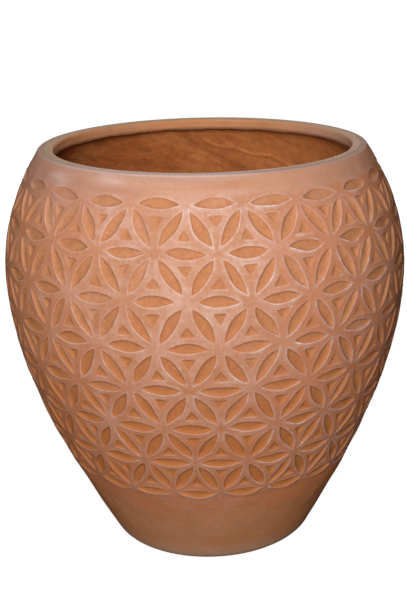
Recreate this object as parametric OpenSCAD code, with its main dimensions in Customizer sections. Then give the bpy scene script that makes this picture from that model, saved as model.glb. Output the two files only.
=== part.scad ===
// Round fibreglass planter with a full belly, a narrow foot and a thick lip.
// A lattice of pointed petals with small three-cornered pockets between them is sunk into the wall.
// The origin is at the centre of the underside and +Z is up. Sizes are in millimetres.

/* [Outline] */
// Height from the floor to the top of the rim
height = 550; // [480:5:700]
// Widest diameter of the belly
belly_d = 542; // [480:1:700]
// Height of the widest part of the belly
belly_height = 387; // [300:1:430]
// Diameter of the foot, measured at its sharp corner
foot_d = 269; // [250:1:340]
// Lean of the wall from upright where it leaves the foot
foot_lean = 29; // [22:1:36]
// Diameter of the rim, measured at its sharp outer corner
rim_d = 434; // [420:1:520]
// Lean of the wall from upright where it meets the rim
rim_lean = 34; // [22:1:40]

/* [Rim] */
// Diameter of the mouth inside the lip
mouth_d = 395; // [340:1:400]
// Height of the inner face of the lip
lip_height = 16; // [8:1:30]
// Rounding of the inner top edge of the lip
lip_round = 4; // [1:0.5:7]
// Rounding of the outer top edge of the rim
rim_round = 6; // [3:0.5:10]

/* [Lattice] */
// Number of petals side by side round the planter
columns = 22; // [18:1:24]
// Number of rows of lattice nodes
rows = 8; // [2:1:8]
// Distance of the first row from the rim's sharp corner, measured down the wall
first_row = 35.5; // [26:0.5:40]
// Distance from one row to the next, measured down the wall
row_pitch = 57.25; // [50:0.25:58]
// Turn of the lattice about the axis, in degrees
lattice_turn = 2.88; // [0:0.02:16]
// Length of a petal from tip to tip
petal_length = 50; // [30:0.5:54]
// Width of a petal at its middle
petal_width = 14; // [8:0.5:16]
// How much further the petals of the first and last row swell on their outer side
edge_swell = 1.2; // [0:0.1:3]
// Width of a three-cornered pocket, as a share of the triangle that it lies in
pocket_share = 0.215; // [0.1:0.005:0.25]
// Depth of the sunk shapes at their middle
sunk_depth = 3; // [1:0.1:4]

/* [Walls] */
// Thickness of the outer moulding
shell_wall = 6.5; // [5:0.5:9]
// Thickness of the glass-mat layer inside it
laminate_wall = 3.5; // [2:0.5:6]

/* [Foot and floor] */
// Rounding of the outer corner of the foot
foot_round = 26; // [8:1:30]
// Thickness of the flange that turns in under the floor
flange_thick = 6; // [4:0.5:10]
// Inner diameter of the flange
flange_d = 190; // [150:5:210]
// Thickness of the floor plate
floor_thick = 8; // [5:0.5:14]
// Width and height of the glass tape in the corner of the floor
tape_leg = 24; // [14:1:36]
// Thickness of the glass tape where it ends
tape_edge = 1.5; // [1:0.5:3]
// How far the hollow face of the tape is pulled in towards the corner of the floor
tape_hollow = 4.5; // [3:0.5:8]

/* [Drain] */
// Diameter of the drain hole
drain_d = 25; // [16:1:40]
// Radial play of the plug in the drain hole
plug_play = 0.08; // [0.02:0.01:0.1]
// How far the stem of the plug comes through below the floor plate
stem_proud = 3; // [1:0.5:3.5]
// Chamfer at the lower end of the stem
stem_chamfer = 1; // [0.5:0.5:2]
// How far the head of the plug reaches past the hole all round
head_overlap = 8; // [5:0.5:14]
// Thickness of the head of the plug
head_thick = 4; // [3:0.5:8]
// Gap between the head of the plug and the floor
head_gap = 0.2; // [0.1:0.05:0.3]
// Diameter of the knob on the plug
knob_d = 18; // [12:1:24]
// Height of the knob above the head
knob_rise = 20; // [16:1:30]
// Height of the rounded knob itself
knob_height = 9; // [6:0.5:12]
// Diameter of the neck below the knob
neck_d = 10; // [7:0.5:11]

/* [Hidden] */
$fn = 128;

belly_r = belly_d / 2;
foot_r = foot_d / 2;
rim_r = rim_d / 2;
mouth_r = mouth_d / 2;
flange_r = flange_d / 2;
drain_r = drain_d / 2;
stem_r = drain_r - plug_play;

floor_z = flange_thick + floor_thick;
tape_z = floor_z + tape_leg;
lip_z = height - lip_height;
lining = shell_wall + laminate_wall;

// How far a drilled hole runs past both faces, and a sunk shape past the wall's outside
drill_past = 1;

// Numbers of straight steps that stand in for the long curves and the small arcs
wall_steps = 42;
arc_steps = 8;
petal_steps = 3;

shell_colour = [0.80, 0.57, 0.44];
lip_colour = [0.70, 0.52, 0.42];
laminate_colour = [0.60, 0.33, 0.17];
tape_colour = [0.56, 0.31, 0.17];
plug_colour = [0.13, 0.13, 0.13];

// Radius on a curve from a to b with end slopes ma and mb, and its change, for t from 0 to 1
function blend_at(t, a, ma, b, mb) =
    (2 * pow(t, 3) - 3 * pow(t, 2) + 1) * a + (pow(t, 3) - 2 * pow(t, 2) + t) * ma
    + (3 * pow(t, 2) - 2 * pow(t, 3)) * b + (pow(t, 3) - pow(t, 2)) * mb;
function blend_rate(t, a, ma, b, mb) =
    (6 * pow(t, 2) - 6 * t) * (a - b) + (3 * pow(t, 2) - 4 * t + 1) * ma
    + (3 * pow(t, 2) - 2 * t) * mb;

// Radius and slope of the outer surface at a height
top_span = height - belly_height;
function outer_r(z) = z < belly_height
    ? blend_at(z / belly_height, foot_r, tan(foot_lean) * belly_height, belly_r, 0)
    : blend_at((z - belly_height) / top_span, belly_r, 0, rim_r, -tan(rim_lean) * top_span);
function outer_slope(z) = z < belly_height
    ? blend_rate(z / belly_height, foot_r, tan(foot_lean) * belly_height, belly_r, 0) / belly_height
    : blend_rate((z - belly_height) / top_span, belly_r, 0, rim_r, -tan(rim_lean) * top_span) / top_span;

// Radius at a height of the surface that lies at a depth below the outer one
function skin_r(z, depth) = outer_r(z) - depth * sqrt(1 + pow(outer_slope(z), 2));

// Height of the wall's outside at a length down it from the rim's sharp corner
length_step = 5;
wall_lengths = [
    for (s = 0, z = height; z >= 0;
        s = s + norm([outer_r(z) - outer_r(z - length_step), length_step]), z = z - length_step)
    [s, z]];
function wall_z(s) = lookup(s, wall_lengths);

// Points of an arc about a centre, from one angle to another
function arc(centre, r, from, to, steps = arc_steps) =
    [for (i = [0 : steps]) let (a = from + (to - from) * i / steps)
        centre + r * [cos(a), sin(a)]];

// Heights that every wall surface shares, so that the layers meet face to face
function wall_heights() = concat(
    [floor_z, tape_z],
    [for (i = [1 : wall_steps]) tape_z + (lip_z - tape_z) * i / wall_steps]);

function skin(depth) = [for (z = wall_heights()) [skin_r(z, depth), z]];

function reversed(points) = [for (i = [len(points) - 1 : -1 : 0]) points[i]];

// How far the two outer roundings reach along the edges that they join
foot_reach = foot_round / tan(45 + foot_lean / 2);
rim_reach = rim_round / tan(45 + rim_lean / 2);
foot_arc_z = foot_round * (1 - sin(foot_lean));
rim_arc_z = height - rim_round * (1 - sin(rim_lean));

// Angle and length down the wall of a lattice node. Every other row is shifted by half a column.
column_pitch = 360 / columns;
function lattice_node(row, column) =
    [lattice_turn + (column + (row % 2) / 2) * column_pitch, first_row + row * row_pitch];
function middle_of(nodes) = [for (i = [0, 1]) [for (n = nodes) n[i]] * [for (n = nodes) 1 / len(nodes)]];

// A lattice node as seen flat on the wall from a place: how far down the wall, and how far round it
function flat_from(place, seen) =
    [seen[1] - place[1], (seen[0] - place[0]) * PI / 180 * outer_r(wall_z(place[1]))];

// One side of a petal, from tip to tip, bulging towards +Y by its half width
function petal_side(half_width) =
    let (r = (pow(petal_length / 2, 2) + pow(half_width, 2)) / (2 * half_width),
        tip = asin(petal_length / 2 / r))
    arc([0, half_width - r], r, 90 - tip, 90 + tip, petal_steps);

// Sinks a flat shape square into the wall at a place on it, with +X of the shape down the wall
module sunk_at(place) {
    z = wall_z(place[1]);
    rotate([0, 0, place[0]]) translate([outer_r(z), 0, z])
        rotate([0, 90 + atan(outer_slope(z)), 0]) translate([0, 0, -sunk_depth])
            linear_extrude(sunk_depth + drill_past) children();
}

module petal(from, to, swell = 0) {
    middle = middle_of([from, to]);
    run = flat_from(middle, to);
    ahead = petal_side(petal_width / 2 + swell);
    behind = [for (p = petal_side(petal_width / 2 - swell)) -p];
    sunk_at(middle) rotate(atan2(run[1], run[0]))
        polygon(concat(ahead, [for (i = [1 : petal_steps - 1]) behind[i]]));
}

module pocket(nodes) {
    middle = middle_of(nodes);
    sunk_at(middle) polygon([for (n = nodes) pocket_share * flat_from(middle, n)]);
}

module sunk_lattice() {
    for (row = [0 : rows - 1], column = [0 : columns - 1]) {
        side = row % 2;
        here = lattice_node(row, column);
        next = lattice_node(row, column + 1);
        petal(here, next, row == 0 ? edge_swell : row == rows - 1 ? -edge_swell : 0);
        if (row < rows - 1) {
            low_left = lattice_node(row + 1, column + side - 1);
            low_right = lattice_node(row + 1, column + side);
            petal(here, low_left);
            petal(here, low_right);
            pocket([here, next, low_right]);
            pocket([here, low_right, low_left]);
        }
    }
}

module outer_shell() {
    outside = concat(
        arc([foot_r - foot_reach, foot_round], foot_round, -90, -foot_lean),
        [for (i = [1 : wall_steps - 1]) let (z = foot_arc_z + (rim_arc_z - foot_arc_z) * i / wall_steps)
            [outer_r(z), z]],
        arc([rim_r - rim_reach, height - rim_round], rim_round, rim_lean, 90));
    inside = concat(
        [[skin_r(height, shell_wall), height]],
        reversed(skin(shell_wall)),
        [[skin_r(flange_thick, shell_wall), flange_thick], [flange_r, flange_thick], [flange_r, 0]]);
    color(shell_colour) difference() {
        rotate_extrude() polygon(concat(outside, inside));
        sunk_lattice();
    }
}

module rim_lip() {
    section = concat(
        [[skin_r(lip_z, shell_wall), lip_z], [skin_r(height, shell_wall), height]],
        arc([mouth_r + lip_round, height - lip_round], lip_round, 90, 180),
        [[mouth_r, lip_z]]);
    color(lip_colour) rotate_extrude() polygon(section);
}

module inner_laminate() {
    color(laminate_colour) rotate_extrude() polygon(concat(skin(shell_wall), reversed(skin(lining))));
}

module base_plate() {
    section = [
        [0, flange_thick],
        [skin_r(flange_thick, shell_wall), flange_thick],
        [skin_r(floor_z, shell_wall), floor_z],
        [0, floor_z]];
    color(laminate_colour) difference() {
        rotate_extrude() polygon(section);
        translate([0, 0, flange_thick - drill_past])
            cylinder(h = floor_thick + 2 * drill_past, r = drain_r);
    }
}

// The tape fills the corner with a hollow curve between its two thin ends
module base_tape() {
    low_r = skin_r(floor_z, lining);
    high_r = skin_r(tape_z, lining);
    inner_r = low_r - tape_leg;
    knee = [low_r - tape_hollow, floor_z + tape_hollow];
    low_end = [inner_r, floor_z + tape_edge];
    high_end = [high_r - tape_edge, tape_z];
    hollow = [for (i = [0 : arc_steps]) let (t = i / arc_steps)
        pow(1 - t, 2) * high_end + 2 * t * (1 - t) * knee + pow(t, 2) * low_end];
    color(tape_colour) rotate_extrude() polygon(concat(
        [[inner_r, floor_z], [low_r, floor_z], [high_r, tape_z]], hollow));
}

module drain_plug() {
    head_r = drain_r + head_overlap;
    head_z = floor_z + head_gap;
    knob_r = knob_d / 2;
    neck_r = neck_d / 2;
    edge = head_thick / 2;
    end_z = flange_thick - stem_proud;
    knob_z = head_z + head_thick + knob_rise - knob_height / 2;
    knob = [for (p = arc([0, 0], 1, -acos(neck_r / knob_r), 90))
        [p[0] * knob_r, knob_z + p[1] * knob_height / 2]];
    section = concat(
        [[0, end_z], [stem_r - stem_chamfer, end_z], [stem_r, end_z + stem_chamfer], [stem_r, head_z]],
        arc([head_r - edge, head_z + edge], edge, -90, 90),
        arc([neck_r + edge, head_z + head_thick + edge], edge, 270, 180),
        knob);
    color(plug_colour) rotate_extrude() polygon(section);
}

outer_shell();
rim_lip();
inner_laminate();
base_plate();
base_tape();
drain_plug();
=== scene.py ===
"""Finish of a round fibreglass planter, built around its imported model.

The outer moulding carries a sunk lattice of pointed petals under a rubbed lime wash. The lip is
plain filled resin, the inside is brushed resin over creased glass mat, and the drain plug is rubber.
Lengths are in metres. Angles run from the side that faces the camera, -Y, towards +X.
"""
import logging
import math
from dataclasses import dataclass, field
from enum import Enum
from typing import Any, ClassVar, Sequence, Union

import bpy
import numpy as np
from mathutils import Matrix, Vector, noise


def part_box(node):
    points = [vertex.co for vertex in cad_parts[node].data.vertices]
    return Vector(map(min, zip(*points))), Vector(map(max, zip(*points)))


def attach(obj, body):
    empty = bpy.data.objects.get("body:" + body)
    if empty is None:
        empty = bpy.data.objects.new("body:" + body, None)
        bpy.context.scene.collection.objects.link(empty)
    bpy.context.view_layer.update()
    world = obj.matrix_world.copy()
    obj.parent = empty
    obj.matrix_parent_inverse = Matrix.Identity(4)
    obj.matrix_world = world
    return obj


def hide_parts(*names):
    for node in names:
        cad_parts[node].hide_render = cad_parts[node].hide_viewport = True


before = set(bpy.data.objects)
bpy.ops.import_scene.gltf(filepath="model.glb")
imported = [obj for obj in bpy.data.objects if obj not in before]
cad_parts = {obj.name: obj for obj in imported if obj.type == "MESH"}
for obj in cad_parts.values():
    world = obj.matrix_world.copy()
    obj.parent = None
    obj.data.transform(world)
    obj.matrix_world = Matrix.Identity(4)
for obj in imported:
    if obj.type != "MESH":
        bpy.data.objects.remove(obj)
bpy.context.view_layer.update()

LOG = logging.getLogger("planter")
PHOTO_HEIGHT = 600

Colour = tuple[float, float, float]
Pair = tuple[float, float]
Spot = tuple[float, ...]
Socket = bpy.types.NodeSocket
Number = Union["Wire", float]
Tint = Union[Colour, Socket]
Source = Union["Wire", Socket, float, Sequence[float]]


class Body(Enum):
    """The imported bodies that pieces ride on."""

    PLANTER = "planter"
    PLUG = "plug"


class Slot(Enum):
    """The record's material slots."""

    SKIN = "terracotta_skin"
    LIP = "lip_resin"
    MAT = "glass_mat"
    FLOOR = "floor_laminate"
    TAPE = "glass_tape"
    RUBBER = "plug_rubber"


class PointValue(Enum):
    """Named values that a mesh holds at its points."""

    SUNK = "sunk"
    LIME = "lime"
    FREE = "free"
    CREASE = "crease"


def paint(red: int, green: int, blue: int) -> Colour:
    """Turn a colour as seen on a screen into the linear values that shaders take.

    Args:
        red: Red from 0 to 255.
        green: Green from 0 to 255.
        blue: Blue from 0 to 255.

    Returns:
        The three linear values from 0 to 1.
    """
    shares = (red / 255, green / 255, blue / 255)
    return tuple(c / 12.92 if c <= 0.04045 else ((c + 0.055) / 1.055) ** 2.4 for c in shares)


class Wire:
    """A node's output socket that can stand in an arithmetic expression."""

    def __init__(self, bench: "NodeBench", socket: Socket) -> None:
        """Keep the socket and the bench whose tree holds it."""
        self.bench = bench
        self.socket = socket

    def maths(self, operation: str, *others: Number, swap: bool = False) -> "Wire":
        """Add a Math node.

        Args:
            operation: The node's operation.
            *others: The operands after this value.
            swap: True where this value comes last.

        Returns:
            The node's result.
        """
        operands = [self, *others]
        if swap:
            operands.reverse()
        made = self.bench.node("ShaderNodeMath", {"operation": operation}, dict(enumerate(operands)))
        return Wire(self.bench, made.outputs[0])

    def __add__(self, other: Number) -> "Wire":
        """Return self + other."""
        return self.maths("ADD", other)

    def __sub__(self, other: Number) -> "Wire":
        """Return self - other."""
        return self.maths("SUBTRACT", other)

    def __rsub__(self, other: float) -> "Wire":
        """Return other - self."""
        return self.maths("SUBTRACT", other, swap=True)

    def __mul__(self, other: Number) -> "Wire":
        """Return self * other."""
        return self.maths("MULTIPLY", other)

    def __truediv__(self, other: Number) -> "Wire":
        """Return self / other."""
        return self.maths("DIVIDE", other)

    def __pow__(self, other: Number) -> "Wire":
        """Return self ** other."""
        return self.maths("POWER", other)

    __radd__ = __add__
    __rmul__ = __mul__

    def ramp(self, low: float, high: float) -> "Wire":
        """Fade smoothly from 0 to 1.

        Args:
            low: The value that gives 0.
            high: The value that gives 1. It may be the smaller of the two.

        Returns:
            The faded value.
        """
        inputs = {"Value": self, "From Min": min(low, high), "From Max": max(low, high)}
        made = self.bench.node("ShaderNodeMapRange", {"interpolation_type": "SMOOTHSTEP"}, inputs)
        faded = Wire(self.bench, made.outputs[0])
        return 1 - faded if low > high else faded


class NodeBench:
    """Builds the nodes of one tree."""

    def __init__(self, tree: bpy.types.NodeTree) -> None:
        """Empty the tree that is to be filled."""
        self.tree = tree
        tree.nodes.clear()

    def node(self, kind: str, settings: dict[str, Any] | None = None,
             inputs: dict[Union[str, int], Source] | None = None) -> bpy.types.Node:
        """Add a node, set it up, and feed its sockets.

        Args:
            kind: The node's type name.
            settings: The node's own properties, set before its sockets.
            inputs: Values, sockets or wires by input name or number.

        Returns:
            The new node.
        """
        made = self.tree.nodes.new(kind)
        for name, value in (settings or {}).items():
            setattr(made, name, value)
        for name, value in (inputs or {}).items():
            self.feed(made.inputs[name], value)
        return made

    def feed(self, socket: Socket, value: Source) -> None:
        """Link a wire or socket to an input, or set its value.

        Args:
            socket: The input socket.
            value: What it takes.
        """
        source = value.socket if isinstance(value, Wire) else value
        if isinstance(source, Socket):
            self.tree.links.new(source, socket)
        else:
            socket.default_value = source

    def vector(self, operation: str, first: Source, second: Source | None = None) -> Socket:
        """Add a Vector Math node.

        Args:
            operation: The node's operation.
            first: The vector that it works on.
            second: The other vector, or the factor that the first is scaled by.

        Returns:
            The vector or the number that it gives.
        """
        inputs = {0: first}
        if second is not None:
            inputs["Scale" if operation == "SCALE" else 1] = second
        made = self.node("ShaderNodeVectorMath", {"operation": operation}, inputs)
        return made.outputs["Value" if operation in ("LENGTH", "DOT_PRODUCT") else "Vector"]

    def lumps(self, where: Source, scale: Source, detail: float, rough: float,
              seed: Source) -> bpy.types.Node:
        """Add a noise node.

        Args:
            where: Coordinates.
            scale: Lumps per metre.
            detail: Octaves of finer noise.
            rough: Share that each finer octave keeps.
            seed: Offset that gives another pattern.

        Returns:
            The node.
        """
        inputs = {"Vector": where, "W": seed, "Scale": scale, "Detail": detail, "Roughness": rough}
        return self.node("ShaderNodeTexNoise", {"noise_dimensions": "4D"}, inputs)


class FinishBench(NodeBench):
    """Builds one material from patterns, colours and relief."""

    def __init__(self, name: str) -> None:
        """Make an empty material.

        Args:
            name: The material's name.
        """
        self.material = bpy.data.materials.new(name)
        self.material.use_nodes = True
        super().__init__(self.material.node_tree)
        self.place = self.node("ShaderNodeTexCoord").outputs["Object"]

    def stretched(self, across: float, along: float, tilt: float = 0.0) -> Socket:
        """Scale the piece's coordinates, so that a pattern is drawn out round the planter.

        Args:
            across: Scale in X and Y.
            along: Scale in Z.
            tilt: Turn about Y before they are scaled, so that the pattern runs at a slant.

        Returns:
            The scaled coordinates.
        """
        sizes = (1 / across, 1 / across, 1 / along)
        inputs = {"Vector": self.place, "Rotation": (0.0, tilt, 0.0), "Scale": sizes}
        return self.node("ShaderNodeMapping", {"vector_type": "TEXTURE"}, inputs).outputs[0]

    def near(self, spot: Spot, reach: float, flat: float) -> Wire:
        """Fade from 1 at a place to 0 at a distance from it.

        Args:
            spot: The place.
            reach: The distance, round the planter.
            flat: How many times closer it fades up and down.

        Returns:
            The faded value.
        """
        away = self.vector("MULTIPLY", self.vector("SUBTRACT", self.place, spot), (1.0, 1.0, flat))
        return Wire(self, self.vector("LENGTH", away)).ramp(reach, 0.0)

    def clouds(self, scale: float, detail: float, rough: float, seed: float = 0.0) -> Wire:
        """Add soft noise, about 0.5 on average; the arguments are those of lumps."""
        return Wire(self, self.lumps(self.place, scale, detail, rough, seed).outputs[0])

    def streaked(self, across: float, along: float, detail: float, rough: float, seed: float = 0.0,
                 tilt: float = 0.0) -> Wire:
        """Add soft noise drawn out round the planter; the arguments are those of stretched and lumps."""
        where = self.stretched(across, along, tilt)
        return Wire(self, self.lumps(where, 1, detail, rough, seed).outputs[0])

    def grains(self, scale: float, feature: str = "F1", where: Socket | None = None) -> Wire:
        """Add a cell pattern.

        Args:
            scale: Cells per metre.
            feature: The Voronoi feature that is measured.
            where: Coordinates, or None for the piece's own.

        Returns:
            Distance in the cell, in cell widths.
        """
        inputs = {"Vector": where or self.place, "Scale": scale}
        return Wire(self, self.node("ShaderNodeTexVoronoi", {"feature": feature}, inputs).outputs[0])

    def value(self, name: PointValue) -> Wire:
        """Read a named value of the mesh's points."""
        return Wire(self, self.node("ShaderNodeAttribute", {"attribute_name": name.value}).outputs["Fac"])

    def axes(self) -> tuple[Wire, Wire, Wire]:
        """Split the piece's coordinates into X, Y and Z."""
        made = self.node("ShaderNodeSeparateXYZ", {}, {0: self.place})
        return tuple(Wire(self, socket) for socket in made.outputs)

    def mixed(self, share: Number, low: Tint, high: Tint) -> Socket:
        """Mix two colours.

        Args:
            share: Share of the second colour.
            low: The first colour.
            high: The second colour.

        Returns:
            The mixed colour.
        """
        made = self.node("ShaderNodeMix", {"data_type": "RGBA"})
        self.feed(made.inputs["Factor"], share)
        for name, colour in (("A", low), ("B", high)):
            socket = next(s for s in made.inputs if s.name == name and s.type == "RGBA")
            self.feed(socket, (*colour, 1.0) if isinstance(colour, tuple) else colour)
        return next(s for s in made.outputs if s.type == "RGBA")

    def coated(self, colour: Tint, *coats: tuple[Number, Tint]) -> Socket:
        """Lay colours over one another.

        Args:
            colour: The colour below.
            *coats: The share and the colour of each coat, in order.

        Returns:
            The colour that shows.
        """
        for share, tint in coats:
            colour = self.mixed(share, colour, tint)
        return colour

    def relief(self, *layers: tuple[Wire, float]) -> Socket:
        """Lay reliefs over one another.

        Args:
            *layers: The height pattern, from 0 to 1, and the depth of each, in order.

        Returns:
            The changed normal.
        """
        below: dict[str, Socket] = {}
        for height, depth in layers:
            inputs = {"Strength": 1.0, "Distance": depth, "Height": height, **below}
            below = {"Normal": self.node("ShaderNodeBump", {}, inputs).outputs[0]}
        return below["Normal"]

    def finish(self, colour: Socket, roughness: Wire, normal: Socket, specular: float) -> bpy.types.Material:
        """Close the material with its surface shader.

        Args:
            colour: Base colour.
            roughness: Roughness.
            normal: Relief.
            specular: Specular level, the same all over.

        Returns:
            The material.
        """
        inputs = {"Base Color": colour, "Roughness": roughness, "Normal": normal,
                  "Specular IOR Level": specular}
        shader = self.node("ShaderNodeBsdfPrincipled", {}, inputs)
        self.node("ShaderNodeOutputMaterial", {}, {"Surface": shader.outputs[0]})
        return self.material


@dataclass(frozen=True)
class ClayGround:
    """The places and noises that the coats of the outer skin share."""

    bench: FinishBench
    x: Wire
    z: Wire
    height: Wire
    front: Wire
    band: Wire
    mottle: Wire
    blotch: Wire
    fine: Wire
    grain: Wire
    streaks: Wire


@dataclass(frozen=True)
class LimedClay:
    """The outer skin: clay-coloured gel coat under a pale lime wash that was rubbed off again."""

    # Land and floors darken towards the foot: partly the wash thinning out, partly painted shade where less
    # light reaches the lower rows.
    land_high: Colour = paint(205, 143, 107)
    land_low: Colour = paint(194, 122, 80)
    floor_high: Colour = paint(207, 142, 100)
    floor_low: Colour = paint(192, 119, 68)
    lime: Colour = paint(240, 210, 200)
    chalk: Colour = paint(246, 228, 220)
    veil: Colour = paint(226, 180, 162)
    umber_and_shade: Colour = paint(160, 98, 60)
    rim: Colour = paint(196, 161, 145)
    # Paler rim front: partly worn lime, partly a painted highlight.
    rim_front_lime_and_highlight: Colour = paint(232, 199, 189)
    mauve: Colour = paint(196, 156, 148)
    dust: Colour = paint(186, 160, 112)
    ochre: Colour = paint(214, 124, 74)
    worn: Colour = paint(168, 148, 136)
    blooms: tuple[tuple[Spot, float], ...] = (
        ((-0.112, -0.190, 0.541), 0.034),
        ((-0.176, -0.142, 0.535), 0.036),
        ((0.111, -0.229, 0.479), 0.013),
    )
    bloom_flat: float = 3.4
    # Where each coat fades in, from none of it to all. Heights are in Z, the front in Y, the rest in X.
    wash_and_shade_height: Pair = (0.15, 0.48)
    wash_front: Pair = (-0.06, -0.25)
    band_height: Pair = (0.521, 0.533)
    under_rim_height: Pair = (0.541, 0.532)
    floor_height: Pair = (0.20, 0.51)
    bare_right: Pair = (0.02, 0.18)
    bare_left: Pair = (-0.10, -0.22)
    mauve_right: Pair = (0.10, 0.18)
    umber_left: Pair = (-0.03, -0.10)
    # Painted shade: the far right edge is darkened.
    painted_shade_right: Pair = (0.19, 0.265)
    veil_from_left: Pair = (-0.08, -0.02)
    veil_from_right: Pair = (0.09, 0.03)
    ochre_right: Pair = (0.02, 0.14)
    ochre_left: Pair = (-0.06, -0.20)
    lime_side: Pair = (-0.26, 0.10)
    soft_right: Pair = (0.02, 0.15)
    lump_right: Pair = (0.0, 0.12)
    worn_height: Pair = (0.538, 0.546)
    worn_and_lit_side: Pair = (0.10, 0.0)
    shade_left: Pair = (-0.06, -0.19)
    shade_height: Pair = (0.48, 0.52)
    shade_foot: Pair = (0.04, 0.0)
    dust_band: Pair = (0.110, 0.085)
    dust_foot: Pair = (0.05, 0.0)
    dust_right: Pair = (0.05, 0.15)
    dust_height: Pair = (0.3, 0.05)
    rim_height: Pair = (0.5475, 0.5495)

    def ground(self) -> ClayGround:
        """Start the material with the places and noises that its coats share.

        Returns:
            These, with the material's bench.
        """
        bench = FinishBench("limed_clay")
        x, y, z = bench.axes()
        return ClayGround(
            bench, x, z,
            height=z.ramp(*self.wash_and_shade_height),
            front=y.ramp(*self.wash_front),
            band=z.ramp(*self.band_height),
            mottle=bench.clouds(14, 4, 0.6),
            blotch=bench.clouds(36, 4, 0.6, 6.0),
            fine=bench.clouds(160, 3, 0.6, 2.0),
            grain=bench.clouds(560, 2, 0.6, 14.0),
            streaks=bench.streaked(9, 260, 4, 0.62),
        )

    def land(self, at: ClayGround) -> Socket:
        """Colour the land between the petals, and the plain bands.

        Args:
            at: The shared places and noises.

        Returns:
            Clay under a veil of wash, ochre where the wash is thin.
        """
        bench, x, band, mottle, streaks = at.bench, at.x, at.band, at.mottle, at.streaks
        brush = bench.streaked(430, 60, 3, 0.6, 4.0)
        broad = bench.streaked(3.5, 46, 2, 0.5, 5.0)
        wash = streaks.ramp(0.46, 0.74) * 0.20 + broad.ramp(0.45, 0.7) * 0.34
        veil = (bench.clouds(21, 4, 0.62, 8.0) + (brush - 0.5) * 0.35).ramp(0.38, 0.66) * 0.8
        level = bench.streaked(6, 80, 2, 0.5, 12.0).ramp(0.30, 0.74) * 0.36
        veil = veil * (1 - band) + level * band
        bare = x.ramp(*self.bare_right) * 0.65 + x.ramp(*self.bare_left) * (1 - band) * 0.35
        cover = (wash + veil) * (at.height * 0.75 + 0.25) * (at.front * 0.5 + 0.5)
        cover = cover * at.fine.ramp(0.10, 0.55) * (1 - bare) * (band * 0.3 + 0.88)
        under = at.z.ramp(*self.under_rim_height) * band
        return bench.coated(
            # Darker towards the foot: partly thinner wash, partly painted shade.
            bench.mixed(at.height, self.land_low, self.land_high),
            (mottle.ramp(0.48, 0.72) * (0.25 - band * 0.15), self.umber_and_shade),
            (cover, self.veil),
            (streaks.ramp(0.48, 0.24) * 0.12, self.umber_and_shade),
            (x.ramp(*self.mauve_right) * band * 0.22, self.mauve),
            (under * x.ramp(*self.umber_left) * 0.2, self.umber_and_shade),
            (under * x.ramp(*self.veil_from_left) * x.ramp(*self.veil_from_right) * 0.3, self.veil),
            (x.ramp(*self.ochre_right) * (1 - band) * (mottle * 0.3 + 0.27), self.ochre),
            (x.ramp(*self.ochre_left) * (1 - band) * (mottle * 0.3 + 0.15), self.ochre),
        )

    def limed(self, at: ClayGround, land: Socket) -> Socket:
        """Colour the sunk shapes, and lay the lime that was left along their edges.

        Args:
            at: The shared places and noises.
            land: The colour of the land around them.

        Returns:
            The colour of both.
        """
        bench, x, fine, height, front = at.bench, at.x, at.fine, at.height, at.front
        floor = bench.coated(
            # Floors darker towards the foot: partly the clay's tone, partly painted shade.
            bench.mixed(at.z.ramp(*self.floor_height), self.floor_low, self.floor_high),
            (fine.ramp(0.40, 0.68) * 0.30, self.umber_and_shade),
            (at.mottle.ramp(0.5, 0.75) * 0.25 * height, self.lime),
        )
        sunk = (bench.value(PointValue.SUNK) + (fine - 0.5) * 0.5).ramp(0.10, 0.90)
        lime = bench.value(PointValue.LIME)
        patches = bench.clouds(15, 3, 0.62, 9.0).ramp(0.36, 0.62)
        side = x.ramp(*self.lime_side) * 0.35 + 0.65
        kept = (lime + (at.blotch - 0.5) * 1.8 + (fine - 0.5) * 0.7).ramp(0.20, 1.25)
        kept = kept * (patches * 0.6 + 0.4) * (front * 0.5 + 0.5) * side * (height * 0.55 + 0.45)
        soft = (1 - height).ramp(0.25, 1.0) * 0.6 + x.ramp(*self.soft_right) * 0.85
        soft = lime.ramp(0.12, 0.6) * soft * (patches * 0.22 + 0.18) * (1 - sunk)
        lump = (lime + (at.blotch - 0.5) * 1.6 + x.ramp(*self.lump_right) * 0.3).ramp(0.90, 1.25)
        lump = lump * bench.clouds(75, 2, 0.5, 21.0).ramp(0.52, 0.62) * (front * 0.5 + 0.2) * side
        coats = ((sunk, floor), (kept * 0.9, self.lime), (soft, self.mauve), (lump, self.chalk))
        return bench.coated(land, *coats)

    def aged(self, at: ClayGround, colour: Socket) -> Socket:
        """Lay the marks of wear, weather and handling over the wash, with painted shade (mauve on the upper
        left and at the foot, umber at the far right edge) and a painted highlight on the rim's front.

        Args:
            at: The shared places and noises.
            colour: The colour below them.

        Returns:
            The colour that shows.
        """
        bench, x, z, mottle = at.bench, at.x, at.z, at.mottle
        worn = z.ramp(*self.worn_height) * x.ramp(*self.worn_and_lit_side) * at.front * 0.28
        bloomed = mottle * 0.4 + at.streaks.ramp(0.38, 0.62) * 0.45 + 0.1
        blooms = [(bench.near(*bloom, self.bloom_flat) * bloomed, self.lime) for bloom in self.blooms]
        shaded = x.ramp(*self.shade_left) * z.ramp(*self.shade_height) * 0.55
        shaded = shaded + z.ramp(*self.shade_foot) * 1.1
        dusty = z.ramp(*self.dust_band) * 0.13 + z.ramp(*self.dust_foot) * 0.14
        dusty = dusty + x.ramp(*self.dust_right) * z.ramp(*self.dust_height) * 0.06
        speck = bench.grains(210).ramp(0.16, 0.08) * bench.clouds(26, 2, 0.5, 11.0).ramp(0.55, 0.66)
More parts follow.
